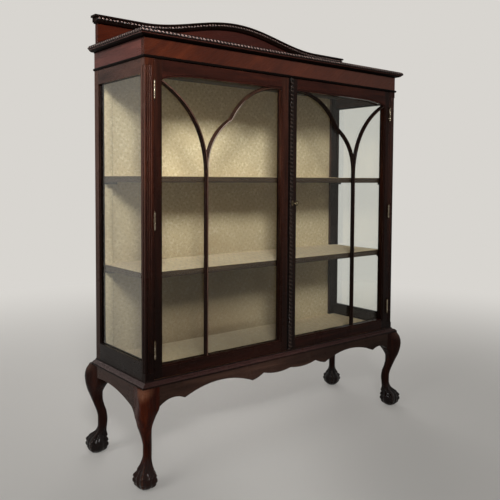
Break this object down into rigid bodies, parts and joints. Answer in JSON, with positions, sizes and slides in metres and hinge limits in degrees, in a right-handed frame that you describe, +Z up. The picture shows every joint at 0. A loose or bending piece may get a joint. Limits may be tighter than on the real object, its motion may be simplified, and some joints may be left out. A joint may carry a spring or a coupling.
{
  "type": "display cabinet",
  "caption": "Glazed display cabinet with two hinged doors, lined shelves, a shaped gallery and cabriole legs with ball-and-claw feet.",
  "frame": {"origin": "centre of the four feet, on the floor", "axes": "+Z up, -Y towards the front, +X to the right as seen from the front"},
  "size_m": [1.227, 0.399, 1.532],
  "materials": {
    "mahogany": "dark red-brown french polish",
    "figured_mahogany": "flame-figured veneer, french polished",
    "inner_wood": "stained, unpolished",
    "lining": "fine damask",
    "glass": "clear",
    "brass": "worn, satin"
  },
  "bodies": {
    "cabinet": {"leg_front_left": "mahogany", "leg_front_right": "mahogany", "leg_back_left": "mahogany", "leg_back_right": "mahogany", "front_apron": "mahogany", "side_aprons": "mahogany", "back_rail": "inner_wood", "base_moulding": "mahogany", "bottom_board": "inner_wood", "bottom_lining": "lining", "front_posts": "mahogany", "back_posts": "mahogany", "side_bottom_rails": "mahogany", "side_top_rails": "mahogany", "side_glasses": "glass", "side_glass_beads": "mahogany", "back_panel": "inner_wood", "back_lining": "lining", "shelf_ledges": "mahogany", "lower_shelf": "mahogany", "upper_shelf": "mahogany", "shelf_linings": "lining", "ceiling_board": "inner_wood", "frieze_front": "figured_mahogany", "frieze_returns": "mahogany", "frieze_bead": "mahogany", "dust_board": "inner_wood", "cornice": "mahogany", "cornice_rope": "mahogany", "gallery_board": "mahogany", "gallery_cap": "mahogany", "gallery_rope": "mahogany", "frame_hinge_leaves": "brass", "hinge_pins": "brass"},
    "left_door": {"left_hinge_stile": "mahogany", "left_meeting_stile": "mahogany", "left_top_rail": "mahogany", "left_bottom_rail": "mahogany", "left_glass": "glass", "left_glazing_bars": "mahogany", "left_glass_beads": "mahogany", "left_door_leaves": "brass", "bolt_plates": "brass"},
    "right_door": {"right_hinge_stile": "mahogany", "right_meeting_stile": "mahogany", "right_top_rail": "mahogany", "right_bottom_rail": "mahogany", "right_glass": "glass", "right_glazing_bars": "mahogany", "right_glass_beads": "mahogany", "right_door_leaves": "brass", "meeting_bead": "mahogany", "lock_case": "brass", "escutcheon": "brass"},
    "key": {"key": "brass"},
    "lock_bolt": {"lock_bolt": "brass"},
    "top_bolt": {"top_bolt": "brass"},
    "bottom_bolt": {"bottom_bolt": "brass"}
  },
  "joints": [
    {"name": "left_door_hinge", "type": "hinge", "parent": "cabinet", "child": "left_door", "pos_m": [-0.54825, -0.1698, 0.81], "axis": [0, 0, -1], "range_deg": [0, 170]},
    {"name": "right_door_hinge", "type": "hinge", "parent": "cabinet", "child": "right_door", "pos_m": [0.54825, -0.1698, 0.81], "axis": [0, 0, 1], "range_deg": [0, 170]},
    {"name": "key_turn", "type": "hinge", "parent": "right_door", "child": "key", "pos_m": [0.016, -0.166, 0.853], "axis": [0, 1, 0], "range_deg": [0, 90]},
    {"name": "lock_bolt_slide", "type": "slide", "parent": "right_door", "child": "lock_bolt", "axis": [-1, 0, 0], "range_m": [0, 0.007]},
    {"name": "top_bolt_slide", "type": "slide", "parent": "left_door", "child": "top_bolt", "axis": [0, 0, 1], "range_m": [0, 0.011]},
    {"name": "bottom_bolt_slide", "type": "slide", "parent": "left_door", "child": "bottom_bolt", "axis": [0, 0, -1], "range_m": [0, 0.011]}
  ],
  "couplings": [
    {"joint": "lock_bolt_slide", "follows": "key_turn", "m_per_rad": 0.004456}
  ]
}
